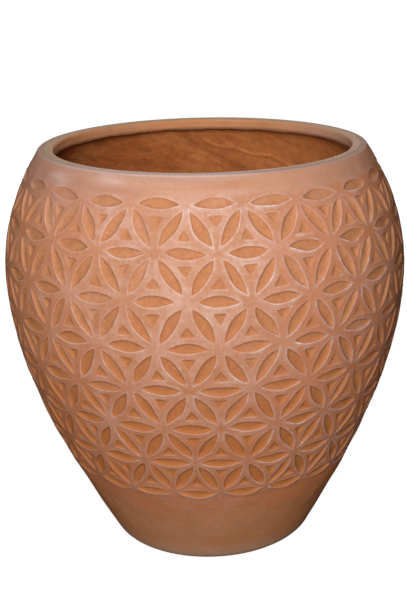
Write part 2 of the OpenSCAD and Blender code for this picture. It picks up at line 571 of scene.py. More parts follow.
        # The rim is paler at the front: partly worn lime on the edge, partly a painted highlight.
        rim = bench.mixed(at.front * x.ramp(*self.worn_and_lit_side), self.rim, self.rim_front_lime_and_highlight)
        return bench.coated(
            colour,
            (worn, self.worn),
            *blooms,
            # Painted shade darkens the far right edge.
            (x.ramp(*self.painted_shade_right) * 0.48, self.umber_and_shade),
            (shaded * (mottle * 0.6 + 0.2), self.mauve),
            (dusty * (at.fine.ramp(0.3, 0.7) + 0.5), self.dust),
            (speck * 0.5, self.lime),
            (at.grain.ramp(0.48, 0.72) * 0.20, self.umber_and_shade),
            (z.ramp(*self.rim_height) * (mottle * 0.4 + 0.75), rim),
        )

    def material(self) -> bpy.types.Material:
        """Build the finish.

        Returns:
            The material.
        """
        at = self.ground()
        colour = self.aged(at, self.limed(at, self.land(at)))
        relief = at.bench.relief((at.grain, 0.00025), (at.streaks, 0.00035), (at.blotch, 0.0012))
        return at.bench.finish(colour, 0.78 + at.fine * 0.16, relief, specular=0.0)


@dataclass(frozen=True)
class LipResin:
    """The lip: filled resin, greyer than the skin on top and warmer on its inner face, with a painted
    highlight on the front of its top and painted shade along the inner face's lower edge.
    """

    top: Colour = paint(189, 153, 120)
    top_front_lime_and_highlight: Colour = paint(212, 180, 164)
    inner: Colour = paint(207, 141, 95)
    dark: Colour = paint(120, 82, 58)
    pale: Colour = paint(207, 182, 172)
    front: Pair = (-0.09, -0.19)
    front_highlight_side: Pair = (0.14, 0.02)
    pale_side: Pair = (0.08, 0.19)
    face_radius: Pair = (0.2015, 0.1985)
    edge_radius: Pair = (0.2110, 0.2125)
    lip_shade_height: Pair = (0.5405, 0.5365)

    def material(self) -> bpy.types.Material:
        """Build the finish.

        Returns:
            The material.
        """
        bench = FinishBench("lip_resin")
        x, y, z = bench.axes()
        radius = (x * x + y * y) ** 0.5
        inner = bench.mixed(x.ramp(*self.pale_side) * 0.3, self.inner, self.pale)
        colour = bench.coated(
            # The top is paler at the front: partly worn lime, partly a painted highlight.
            bench.mixed(y.ramp(*self.front) * x.ramp(*self.front_highlight_side), self.top, self.top_front_lime_and_highlight),
            (radius.ramp(*self.face_radius), inner),
            (bench.clouds(18, 3, 0.6, 1.0).ramp(0.45, 0.75) * 0.25, self.dark),
            (bench.streaked(12, 320, 3, 0.6).ramp(0.5, 0.8) * 0.35, self.pale),
            (radius.ramp(*self.edge_radius) * 0.45, self.pale),
            # Painted shade along the lower edge of the lip's inner face.
            (z.ramp(*self.lip_shade_height) * 0.7, self.dark),
        )
        relief = bench.relief((bench.clouds(420, 3, 0.6, 3.0), 0.00018))
        return bench.finish(colour, 0.7 + bench.clouds(180, 3, 0.6) * 0.2, relief, specular=0.18)


@dataclass(frozen=True)
class MatResin:
    """Brown resin brushed over glass mat, with its creases and loose strands, painted shade on its left and
    painted light on its right.
    """

    name: str = "mat_resin"
    body: Colour = paint(186, 106, 52)
    warm: Colour = paint(208, 130, 72)
    dark: Colour = paint(132, 70, 34)
    brush_tilt: float = math.radians(28)
    shade_side: Pair = (-0.05, -0.18)
    lit_side: Pair = (0.04, 0.14)

    def material(self) -> bpy.types.Material:
        """Build the finish.

        Returns:
            The material.
        """
        bench = FinishBench(self.name)
        x = bench.axes()[0]
        brush = bench.streaked(20, 85, 4, 0.65, 5.0, self.brush_tilt)
        fine = bench.clouds(120, 4, 0.65, 2.0)
        strands = bench.grains(70, "DISTANCE_TO_EDGE", bench.stretched(1.0, 1.6))
        colour = bench.coated(
            bench.mixed(bench.clouds(9, 3, 0.6).ramp(0.35, 0.68), self.body, self.warm),
            (brush.ramp(0.52, 0.34) * 0.5, self.dark),
            (brush.ramp(0.52, 0.70) * 0.5, self.warm),
            (fine.ramp(0.42, 0.72) * 0.45, self.dark),
            (strands.ramp(0.04, 0.0) * 0.12, self.dark),
            (bench.value(PointValue.CREASE) * 0.6, self.warm),
            # Painted shade on the left of the inside, painted light on its right.
            (x.ramp(*self.shade_side) * 0.16, self.dark),
            (x.ramp(*self.lit_side) * 0.22, self.warm),
        )
        relief = bench.relief((fine, 0.0008), (brush, 0.0014), (strands.ramp(0.10, 0.0), 0.00012))
        return bench.finish(colour, 0.48 + fine * 0.3, relief, specular=0.4)


FLOOR_RESIN = MatResin(name="floor_resin", body=paint(150, 88, 48), warm=paint(172, 106, 60))


@dataclass(frozen=True)
class TapeResin:
    """Brown resin over woven glass tape."""

    body: Colour = paint(150, 88, 50)
    dark: Colour = paint(92, 52, 28)
    pitch: float = 0.004
    radius: float = 0.12

    def material(self) -> bpy.types.Material:
        """Build the finish.

        Returns:
            The material.
        """
        bench = FinishBench("tape_resin")
        x, y, z = bench.axes()
        turns = 2 * math.pi / self.pitch
        around = x.maths("ARCTAN2", y) * (self.radius * turns)
        warp, weft = (run.maths("SINE") * 0.5 + 0.5 for run in (around, z * turns))
        weave = warp * weft + (1 - warp) * (1 - weft)
        fine = bench.clouds(150, 3, 0.6)
        coats = ((weave.ramp(0.6, 0.1) * 0.55, self.dark), (fine.ramp(0.45, 0.8) * 0.5, self.dark))
        colour = bench.coated(self.body, *coats)
        return bench.finish(colour, 0.5 + fine * 0.25, bench.relief((weave, 0.0004)), specular=0.4)


@dataclass(frozen=True)
class PlugRubber:
    """Dull black moulded rubber with a dusting of clay."""

    body: Colour = paint(42, 41, 40)
    dust: Colour = paint(112, 88, 72)

    def material(self) -> bpy.types.Material:
        """Build the finish.

        Returns:
            The material.
        """
        bench = FinishBench("plug_rubber")
        patch = bench.clouds(90, 3, 0.6, 4.0)
        colour = bench.mixed(patch.ramp(0.5, 0.8) * 0.45, self.body, self.dust)
        relief = bench.relief((bench.clouds(600, 3, 0.6), 0.0001))
        return bench.finish(colour, 0.62 + patch * 0.25, relief, specular=0.35)


@dataclass(frozen=True)
class Wall:
    """The planter's outer profile, and how depths below it are placed."""

    height: float
    belly_radius: float
    belly_height: float = 0.387
    foot_radius: float = 0.1345
    foot_lean: float = math.radians(29)
    rim_radius: float = 0.217
    rim_lean: float = math.radians(34)
    foot_round: float = 0.026
    rim_round: float = 0.006
    shell_wall: float = 0.0065
    lining: float = 0.010
    mouth_radius: float = 0.1975
    lip_height: float = 0.016
    flange_radius: float = 0.095
    flange_thick: float = 0.006
    floor_z: float = 0.014
    samples: int = 1200
    slope_step: float = 1e-5
    lengths: np.ndarray = field(init=False, repr=False)
    heights: np.ndarray = field(init=False, repr=False)

    def __post_init__(self) -> None:
        """Measure the profile's length from the sharp rim corner down."""
        heights = np.linspace(self.height, 0, self.samples)
        radii = np.array([self.radius(z) for z in heights])
        steps = np.hypot(np.diff(heights), np.diff(radii))
        object.__setattr__(self, "heights", heights)
        object.__setattr__(self, "lengths", np.concatenate([[0], np.cumsum(steps)]))

    def radius(self, z: float) -> float:
        """Find the outer radius.

        Args:
            z: Height.

        Returns:
            The radius there.
        """
        if z < self.belly_height:
            span = self.belly_height
            return blend(z / span, self.foot_radius, math.tan(self.foot_lean) * span, self.belly_radius, 0)
        span = self.height - self.belly_height
        fall = -math.tan(self.rim_lean) * span
        return blend((z - self.belly_height) / span, self.belly_radius, 0, self.rim_radius, fall)

    def slope(self, z: float) -> float:
        """Return the change of outer radius with height."""
        step = self.slope_step
        return (self.radius(z + step) - self.radius(z - step)) / (2 * step)

    def level(self, length: float) -> float:
        """Return the height at a length down the profile from the rim's corner."""
        return float(np.interp(length, self.lengths, self.heights))

    def length_at(self, z: float) -> float:
        """Return the length down the profile at a height."""
        return float(np.interp(-z, -self.heights, self.lengths))

    def inner(self, z: float, depth: float) -> float:
        """Return the radius at a height of the surface that lies a depth below the outer one."""
        return self.radius(z) - depth * math.hypot(1, self.slope(z))

    def sunk_point(self, length: float, depth: float) -> Pair:
        """Find the point square below the profile.

        Args:
            length: Length down the profile.
            depth: Depth below it.

        Returns:
            Radius and height.
        """
        z = self.level(length)
        slope = self.slope(z)
        size = math.hypot(1, slope)
        return self.radius(z) - depth / size, z + depth * slope / size


def blend(t: float, a: float, rate_a: float, b: float, rate_b: float) -> float:
    """Follow a smooth curve between two values.

    Args:
        t: Share of the way, from 0 to 1.
        a: Value at the start.
        rate_a: Rate of change at the start.
        b: Value at the end.
        rate_b: Rate of change at the end.

    Returns:
        The value at t.
    """
    return ((2 * t ** 3 - 3 * t ** 2 + 1) * a + (t ** 3 - 2 * t ** 2 + t) * rate_a
            + (3 * t ** 2 - 2 * t ** 3) * b + (t ** 3 - t ** 2) * rate_b)


def evenly(start: float, end: float, steps: int) -> list[float]:
    """Return values at even steps from a start to an end, both included."""
    return [start + (end - start) * i / steps for i in range(steps + 1)]


def clamped(value: float) -> float:
    """Return a value kept between 0 and 1."""
    return max(0.0, min(1.0, value))


def arc(centre: Pair, radius: float, start: float, end: float, steps: int) -> list[Pair]:
    """Walk along an arc.

    Args:
        centre: Radius and height of its centre.
        radius: Its radius.
        start: First angle.
        end: Last angle.
        steps: Number of steps.

    Returns:
        Radius and height of each point, ends included.
    """
    angles = evenly(start, end, steps)
    return [(centre[0] + radius * math.cos(a), centre[1] + radius * math.sin(a)) for a in angles]


def turned(radius: float, z: float, angle: float) -> tuple[float, float, float]:
    """Return the point at a radius, height and angle from the front."""
    return radius * math.sin(angle), -radius * math.cos(angle), z


def noise_place(radius: float, angle: float, z: float = 0.0) -> Vector:
    """Return where in a noise a point round the axis reads it."""
    return Vector((radius * math.sin(angle), radius * math.cos(angle), z))


def rough_noise(where: Vector) -> float:
    """Return noise of three layers at a place, from about -1 to 1."""
    return noise.fractal(where, 1.0, 2.1, 3)


def linked(name: str, data: bpy.types.ID) -> bpy.types.Object:
    """Make an object and put it in the scene.

    Args:
        name: The object's name.
        data: Its mesh, lamp or camera.

    Returns:
        The object.
    """
    made = bpy.data.objects.new(name, data)
    bpy.context.scene.collection.objects.link(made)
    return made


class Skin:
    """Gathers points and faces into one mesh, joining points that meet to a thousandth of a millimetre."""

    grid: float = 1e-6

    def __init__(self, values: Sequence[PointValue] = ()) -> None:
        """Start an empty skin.

        Args:
            values: The values that each point has after its place.
        """
        self.values = values
        self.index: dict[tuple[int, ...], int] = {}
        self.points: list[Spot] = []
        self.faces: list[list[int]] = []

    def point(self, spot: Spot) -> int:
        """Add a point, or find the one that is there already.

        Args:
            spot: Its place and its named values.

        Returns:
            The point's number.
        """
        key = tuple(round(c / self.grid) for c in spot[:3])
        if key not in self.index:
            self.index[key] = len(self.points)
            self.points.append(spot)
        return self.index[key]

    def face(self, spots: Sequence[Spot], flip: bool = False) -> None:
        """Add a face, unless its points fall together.

        Args:
            spots: Its corners in order.
            flip: True to turn it over.
        """
        corners = list(dict.fromkeys(self.point(spot) for spot in spots))
        if len(corners) > 2:
            self.faces.append(corners[::-1] if flip else corners)

    def sheet(self, rows: Sequence[Sequence[Spot]], flip: bool = False, closed: bool = False) -> None:
        """Add a grid of faces between rows of points.

        Args:
            rows: The rows, all as long.
            flip: True to turn the faces over.
            closed: True to join the last row to the first.
        """
        pairs = list(zip(rows, rows[1:]))
        if closed:
            pairs.append((rows[-1], rows[0]))
        for upper, lower in pairs:
            for i in range(len(upper) - 1):
                self.face((lower[i], lower[i + 1], upper[i + 1], upper[i]), flip)

    def mesh(self, name: str) -> bpy.types.Object:
        """Make the object, shaded smooth.

        Args:
            name: The object's name.

        Returns:
            The object.
        """
        data = bpy.data.meshes.new(name)
        data.from_pydata([p[:3] for p in self.points], [], self.faces)
        for number, value in enumerate(self.values):
            attribute = data.attributes.new(value.value, "FLOAT", "POINT")
            attribute.data.foreach_set("value", [p[3 + number] for p in self.points])
        data.update()
        data.shade_smooth()
        return linked(name, data)


def dress(piece: bpy.types.Object, material: bpy.types.Material, slot: Slot, body: Body,
          *nodes: str) -> None:
    """Give a finished piece its material, its body and the nodes that it stands for.

    Args:
        piece: The piece.
        material: Its material.
        slot: The record's slot for it; not used.
        body: The body that it rides on.
        *nodes: The nodes that it replaces.
    """
    piece.data.materials.clear()
    piece.data.materials.append(material)
    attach(piece, body.value)
    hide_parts(*nodes)


def settle(piece: bpy.types.Object) -> None:
    """Turn a piece's modifiers into its plain mesh.

    Args:
        piece: The piece.
    """
    graph = bpy.context.evaluated_depsgraph_get()
    solved = piece.evaluated_get(graph)
    plain = bpy.data.meshes.new_from_object(solved, preserve_all_data_layers=True, depsgraph=graph)
    piece.modifiers.clear()
    piece.data = plain
    plain.shade_smooth()


@dataclass(frozen=True)
class Ring:
    """One ring of points round a sunk shape: how far out it lies, and its share of depth, floor and lime."""

    offset: float
    depth: float
    sunk: float
    lime: float


@dataclass
class CarvedShell:
    """The outer moulding with its sunk lattice of petals, as one closed shell."""

    wall: Wall
    columns: int = 22
    rows: int = 8
    first_row: float = 0.0355
    row_pitch: float = 0.05725
    start_angle: float = -0.9494
    petal_length: float = 0.0500
    petal_half: float = 0.0070
    edge_half_outer: float = 0.0082
    edge_half_inner: float = 0.0058
    tip_gap: float = 0.0036
    tip_room: float = 0.33
    pocket_share: float = 0.235
    pocket_inset: float = 0.0045
    corner_pull: float = 0.94
    depth: float = 0.0033
    border: float = 0.0145
    seam: float = 0.0003
    upper_rub_and_shade: float = 0.3
    side_rub: float = 0.8
    arc_steps: int = 6
    pocket_steps: int = 2
    band_steps: int = 13
    wall_steps: int = 8
    foot_steps: int = 6
    rim_steps: int = 5
    neck_steps: int = 3
    merge: float = 1e-5
    warp: float = 0.0055
    warp_scale: float = 22.0
    warp_detail: float = 1.5
    dent: float = 0.0010
    dent_scale: float = 16.0
    dent_detail: float = 2.5
    seed: float = 7.0
    petal: tuple[Ring, ...] = (
        Ring(offset=-0.0044, depth=1.0, sunk=1.0, lime=0.0),
        Ring(offset=-0.0018, depth=0.84, sunk=1.0, lime=0.0),
        Ring(offset=-0.0005, depth=0.42, sunk=0.9, lime=0.2),
        Ring(offset=0.0005, depth=0.02, sunk=0.0, lime=1.0),
        Ring(offset=0.0021, depth=0.16, sunk=0.0, lime=0.5),
    )
    pocket: tuple[Ring, ...] = (
        Ring(offset=-0.0028, depth=0.78, sunk=1.0, lime=0.0),
        Ring(offset=-0.0015, depth=0.66, sunk=1.0, lime=0.0),
        Ring(offset=-0.0002, depth=0.36, sunk=0.7, lime=0.1),
        Ring(offset=0.0009, depth=0.12, sunk=0.1, lime=0.7),
        Ring(offset=0.0026, depth=0.12, sunk=0.0, lime=0.25),
    )
    land: Ring = Ring(offset=0.0, depth=0.08, sunk=0.0, lime=0.2)
    plain: Ring = Ring(offset=0.0, depth=0.08, sunk=0.0, lime=0.0)

    def node_at(self, row: int, column: float) -> Pair:
        """Return the angle and profile length of a lattice node."""
        pitch = 2 * math.pi / self.columns
        return self.start_angle + column * pitch, self.first_row + self.row_pitch * row

    def spot(self, angle: float, length: float, ring: Ring | None = None, kept: float = 1.0) -> Spot:
        """Place a point of the carved surface.

        Args:
            angle: Angle from the front.
            length: Length down the profile.
            ring: The ring that it is on, or None for the land.
            kept: Share of the ring's lime that shows here, less where it was rubbed off and on the upper
                edges of petals where shade is painted.

        Returns:
            Its place and its named values.
        """
        shown = ring or self.land
        radius, z = self.wall.sunk_point(length, self.depth * shown.depth)
        return (*turned(radius, z, angle), shown.sunk, shown.lime * kept, 1.0)

    def petal_rings(self, middle: Pair, tip_node: Pair, towards: Pair,
                    half: float) -> tuple[list[list[Spot]], list[Spot]]:
        """Lay out a quarter of a petal: from its middle to one tip, on one side of its centre line.

        Args:
            middle: Angle and length of the petal's middle.
            tip_node: The lattice node beyond the tip.
            towards: The point that the petal's middle line across runs to.
            half: The petal's half width.

        Returns:
            The rings, each from the tip to the middle, and the centre line from its tip to the middle.
        """
        radius = self.wall.radius(self.wall.level(middle[1]))
        along = Vector(((tip_node[0] - middle[0]) * radius, tip_node[1] - middle[1]))
        across = Vector(((towards[0] - middle[0]) * radius, towards[1] - middle[1]))
        room = along.length
        along.normalize()
        square = Vector((-along.y, along.x))
        if square.dot(across) < 0:
            square.negate()
        lean = across.dot(along) / across.dot(square)
        reach = min(self.petal_length / 2, room - self.tip_gap)
        curve = (reach ** 2 + half ** 2) / (2 * half)
        back = curve - half
        widest = self.tip_room * (room - reach)

        def local(a: float, b: float, ring: Ring) -> Spot:
            """Place a point of a ring.

            Args:
                a: Distance along the petal from its middle.
                b: Distance across it.
                ring: The ring.

            Returns:
                Its place and its named values.
            """
            step = along * a + square * b
            facing = (along * a + square * (b + back)).normalized()
            # Less lime on a petal's upper edge than its lower one: partly rubbed off, partly painted shade
            # above and painted highlight below.
            kept = 1 - self.upper_rub_and_shade * (1 - facing.y) / 2
            return self.spot(middle[0] + step.x / radius, middle[1] + step.y, ring, kept)

        rings: list[list[Spot]] = []
        for ring in self.petal:
            bend = curve + min(ring.offset, widest)
            tip = math.acos(back / bend)
            mid = math.atan(lean) + math.asin(-lean * back / bend / math.hypot(1, lean))
            turns = evenly(tip, mid, self.arc_steps)
            places = [(bend * math.sin(t), max(bend * math.cos(t) - back, 0.0)) for t in turns]
            rings.append([local(*place, ring) for place in places])
        floor = self.petal[0]
        end = math.sqrt((curve + floor.offset) ** 2 - back ** 2)
        centre = [local(end * (1 - t), 0, floor) for t in evenly(0, 1, self.arc_steps)]
        return rings, centre

    def pocket_rings(self, middle: Pair, node: Pair, centre: Pair) -> list[list[Spot]]:
        """Lay out a sixth of the small three-cornered pocket between three petals.

        Args:
            middle: Middle of the lattice edge.
            node: Lattice node.
            centre: Centre of the lattice triangle.

        Returns:
            The rings, each from the pocket's corner to the middle of its side.
        """
        radius = self.wall.radius(self.wall.level(centre[1]))
        facing = Vector(((middle[0] - centre[0]) * radius, middle[1] - centre[1])).normalized()
        kept = 1 - self.side_rub * (1 - facing.y ** 2)
        rings: list[list[Spot]] = []
        for ring in self.pocket:
            grow = self.pocket_share * (1 + ring.offset / self.pocket_inset)
            row: list[Spot] = []
            for t in evenly(0, 1, self.pocket_steps):
                share = grow * (self.corner_pull if t == 0 else 1.0)
                point = [c + ((n + (m - n) * t) - c) * share for n, m, c in zip(node, middle, centre)]
                row.append(self.spot(*point, ring, kept))
            rings.append(row)
        return rings

    def region(self, skin: Skin, node: Pair, middle: Pair, centre: Pair, half: float) -> None:
        """Build a sixth of a lattice triangle: a quarter petal, a sixth of a pocket and the land between.

        Args:
            skin: The skin to add to.
            node: The lattice node at its corner.
            middle: The middle of the lattice edge.
            centre: The centre of the triangle.
            half: The petal's half width on this side.
        """
        petal, floor_line = self.petal_rings(middle, node, centre, half)
        pocket = self.pocket_rings(middle, node, centre)
        to_middle, to_centre = ([end - start for start, end in zip(node, p)] for p in (middle, centre))
        flip = to_middle[0] * to_centre[1] < to_middle[1] * to_centre[0]
        skin.sheet([floor_line, *petal], flip)
        reach = self.arc_steps - self.pocket_steps
        grow = self.pocket_share * (1 + self.pocket[-1].offset / self.pocket_inset) * self.corner_pull
        corner = [c + (n - c) * grow for n, c in zip(node, centre)]
        path = [self.spot(*(n + (q - n) * i / reach for n, q in zip(node, corner))) for i in range(reach)]
        skin.sheet([petal[-1], [*path, *pocket[-1]]], flip)
        floor = self.spot(*centre, self.pocket[0])
        skin.sheet([*pocket[::-1], [floor] * (self.pocket_steps + 1)], flip)

    def triangle(self, skin: Skin, corners: Sequence[tuple[int, float]]) -> None:
        """Build one triangle of the lattice.

        Args:
            skin: The skin to add to.
            corners: Row and column of its three nodes.
        """
        nodes = [self.node_at(*corner) for corner in corners]
        centre = tuple(sum(n[i] for n in nodes) / 3 for i in range(2))
        for i in range(3):
            j = (i + 1) % 3
            middle = tuple((p + q) / 2 for p, q in zip(nodes[i], nodes[j]))
            at_edge = corners[i][0] == corners[j][0] and corners[i][0] in (0, self.rows - 1)
            half = self.edge_half_inner if at_edge else self.petal_half
            for node in (nodes[i], nodes[j]):
                self.region(skin, node, middle, centre, half)

    def edge_strip(self, skin: Skin, row: int) -> list[Pair]:
        """Build the outer half of a petal in the first or last row, and the land beyond it.

        Args:
            skin: The skin to add to.
            row: The lattice row.

        Returns:
            Angle and length of the points along the strip's straight outer edge, from left to right.
        """
        side = -1 if row == 0 else 1
        shift = 0.5 * (row % 2)
        left, right = self.node_at(row, shift), self.node_at(row, shift + 1)
        middle = ((left[0] + right[0]) / 2, left[1])
        beyond = left[1] + side * self.border
        edge: list[Pair] = []
        for node, flip in ((left, side > 0), (right, side < 0)):
            petal, floor_line = self.petal_rings(middle, node, (middle[0], beyond), self.edge_half_outer)
            line = [(angle, beyond) for angle in evenly(node[0], middle[0], self.arc_steps)]
            skin.sheet([floor_line, *petal], not flip)
            skin.sheet([petal[-1], [self.spot(*p, self.plain) for p in line]], not flip)
            skin.face([self.spot(*node), petal[-1][0], self.spot(*line[0], self.plain)], flip)
            edge += line if node is left else line[::-1][1:]
        return edge

    def loop(self) -> list[tuple[float, float, float]]:
        """Walk the plain part of the section, from below the lattice under the foot and back over the rim.

        Returns:
            Radius, height and freedom of each point.
        """
        wall = self.wall
        land = self.depth * self.plain.depth
        low = self.first_row + self.row_pitch * (self.rows - 1) + self.border
        high = self.first_row - self.border
        end = wall.length_at(wall.foot_round * (1 - math.sin(wall.foot_lean)))
        start = wall.length_at(wall.height - wall.rim_round * (1 - math.sin(wall.rim_lean)))
        foot_reach = wall.foot_round / math.tan(math.pi / 4 + wall.foot_lean / 2)
        rim_reach = wall.rim_round / math.tan(math.pi / 4 + wall.rim_lean / 2)
        foot = (wall.foot_radius - foot_reach, wall.foot_round)
        rim = (wall.rim_radius - rim_reach, wall.height - wall.rim_round)
        top = wall.height - self.seam
        seam = wall.inner(wall.height, wall.shell_wall)
        path = [(*wall.sunk_point(low + (end - low) * t, land * (1 - t)), 1 - t ** 3)
                for t in evenly(0, 1, self.band_steps)[1:]]
        inside = evenly(wall.flange_thick, wall.height, self.wall_steps)[:-1]
        held = arc(foot, wall.foot_round, -wall.foot_lean, -math.pi / 2, self.foot_steps)[1:]
        held += [(wall.flange_radius, 0.0), (wall.flange_radius, wall.flange_thick)]
        held += [(wall.inner(z, wall.shell_wall), z) for z in (*inside, top)]
        held += [(seam, wall.height), (seam + self.seam, wall.height)]
        held += arc(rim, wall.rim_round, math.pi / 2, wall.rim_lean, self.rim_steps)
        path += [(*point, 0.0) for point in held]
        path += [(*wall.sunk_point(start + (high - start) * t, land * t), t)
                 for t in evenly(0, 1, self.neck_steps)[1:-1]]
        return path

    def column_strip(self) -> bpy.types.Object:
        """Build one column of the lattice, with its share of the plain bands, the foot and the inside.

        Returns:
            The strip, open at its two sides.
        """
        skin = Skin((PointValue.SUNK, PointValue.LIME, PointValue.FREE))
        for row in range(self.rows - 1):
            shift = 0.5 * (row % 2)
            self.triangle(skin, ((row, shift), (row, shift + 1), (row + 1, shift + 0.5)))
            self.triangle(skin, ((row, 1 - shift), (row + 1, 0.5 - shift), (row + 1, 1.5 - shift)))
        upper = self.edge_strip(skin, 0)
        lower = self.edge_strip(skin, self.rows - 1)
        path = self.loop()
        rows = [[self.spot(*p, self.plain) for p in lower]]
        for number, (radius, z, free) in enumerate(path, 1):
            share = number / (len(path) + 1)
            angles = [a[0] + (b[0] - a[0]) * share for a, b in zip(lower, upper)]
            rows.append([(*turned(radius, z, angle), 0.0, 0.0, free) for angle in angles])
        rows.append([self.spot(*p, self.plain) for p in upper])
        skin.sheet(rows)
        return skin.mesh("carved_shell")

    def ring_tree(self, material: bpy.types.Material, sizes: dict[str, float]) -> bpy.types.NodeTree:
        """Build the node tree that sets the strips round the axis and makes them uneven.

        Args:
            material: The skin's finish.
            sizes: The value of each of its inputs by name.

        Returns:
            The tree.
        """
        tree = bpy.data.node_groups.new("petal_columns", "GeometryNodeTree")
        bench = NodeBench(tree)
        tree.interface.new_socket("Strip", in_out="INPUT", socket_type="NodeSocketGeometry")
        for name, size in sizes.items():
            kind = "NodeSocketInt" if isinstance(size, int) else "NodeSocketFloat"
            tree.interface.new_socket(name, in_out="INPUT", socket_type=kind)
        tree.interface.new_socket("Shell", in_out="OUTPUT", socket_type="NodeSocketGeometry")
        given = bench.node("NodeGroupInput").outputs
        points = bench.node("GeometryNodePoints", {}, {"Count": given["Columns"]}).outputs[0]
        turn = Wire(bench, bench.node("GeometryNodeInputIndex").outputs[0]) * (2 * math.pi)
        spin = bench.node("ShaderNodeCombineXYZ", {}, {"Z": turn / Wire(bench, given["Columns"])})
        placed = bench.node("GeometryNodeInstanceOnPoints", {}, {
            "Points": points, "Instance": given["Strip"], "Rotation": spin.outputs[0]})
        real = bench.node("GeometryNodeRealizeInstances", {}, {0: placed.outputs[0]})
        whole = bench.node("GeometryNodeMergeByDistance", {}, {
            "Geometry": real.outputs[0], "Distance": self.merge})

        place = bench.node("GeometryNodeInputPosition").outputs[0]
        free = Wire(bench, bench.node("GeometryNodeInputNamedAttribute", {"data_type": "FLOAT"},
                                      {"Name": PointValue.FREE.value}).outputs["Attribute"])
        out = bench.vector("NORMALIZE", bench.vector("MULTIPLY", place, (1, 1, 0)))
        lean = bench.lumps(place, given["Warp scale"], self.warp_detail, 0.5, given["Seed"]).outputs["Color"]
        centred = bench.vector("SUBTRACT", lean, (0.5, 0.5, 0.5))
        radial = bench.vector("SCALE", out, bench.vector("DOT_PRODUCT", centred, out))
        along = bench.vector("SUBTRACT", centred, radial)
        moved = bench.vector("SCALE", along, Wire(bench, given["Warp"]) * 2 * free)
        dents = bench.lumps(place, given["Dent scale"], self.dent_detail, 0.5, given["Seed"]).outputs[0]
        pressed = bench.vector("SCALE", out, Wire(bench, dents) * Wire(bench, given["Dent"]) * free * -1)
        offset = bench.vector("ADD", moved, pressed)
        uneven = bench.node("GeometryNodeSetPosition", {}, {"Geometry": whole.outputs[0], "Offset": offset})
        dressed = bench.node("GeometryNodeSetMaterial", {}, {
            "Geometry": uneven.outputs[0], "Material": material})
        bench.node("NodeGroupOutput", {}, {0: dressed.outputs[0]})
        return tree

    def build(self) -> bpy.types.Object:
        """Build and dress the shell.

        Returns:
            The finished piece.
        """
        piece = self.column_strip()
        material = LimedClay().material()
        sizes = {"Columns": self.columns, "Warp": self.warp, "Warp scale": self.warp_scale,
                 "Dent": self.dent, "Dent scale": self.dent_scale, "Seed": self.seed}
        ring = piece.modifiers.new("petal_columns", "NODES")
        ring.node_group = self.ring_tree(material, sizes)
        for item in ring.node_group.interface.items_tree:
            if item.name in sizes:
                ring[item.identifier] = sizes[item.name]
        settle(piece)
        dress(piece, material, Slot.SKIN, Body.PLANTER, "outer_shell")
        return piece


@dataclass(frozen=True)
class Role:
    """What a turned piece is: its name, the node that it stands for, its slot, its finish and its body."""

    name: str
    node: str
    slot: Slot
    finish: Union[LipResin, MatResin, TapeResin, PlugRubber]
    body: Body = Body.PLANTER


@dataclass
class TurnedPiece:
    """A piece made by turning its section about the axis."""

    wall: Wall
    steps: int
    role: ClassVar[Role]
    values: ClassVar[tuple[PointValue, ...]] = ()
    closed: ClassVar[bool] = True

    def section(self) -> list[Pair]:
        """Return radius and height of the section's points. The solid lies to the right of the path."""
        raise NotImplementedError

    def uneven(self, radius: float, z: float, angle: float) -> tuple[float, float, float]:
        """Return the radius and height that handwork gives a point, and how creased it is there."""
        return radius, z, 0.0

    def build(self) -> bpy.types.Object:
        """Build and dress the piece.

        Returns:
            The finished piece.
        """
        skin = Skin(self.values)
        rows: list[list[Spot]] = []
        for radius, z in self.section():
            row: list[Spot] = []
            for i in range(self.steps):
                angle = 2 * math.pi * i / self.steps
                moved_radius, moved_z, crease = self.uneven(radius, z, angle)
                row.append((*turned(moved_radius, moved_z, angle), *([crease] * len(self.values))))
            rows.append([*row, row[0]])
        skin.sheet(rows, closed=self.closed)
        piece = skin.mesh(self.role.name)
        dress(piece, self.role.finish.material(), self.role.slot, self.role.body, self.role.node)
        return piece


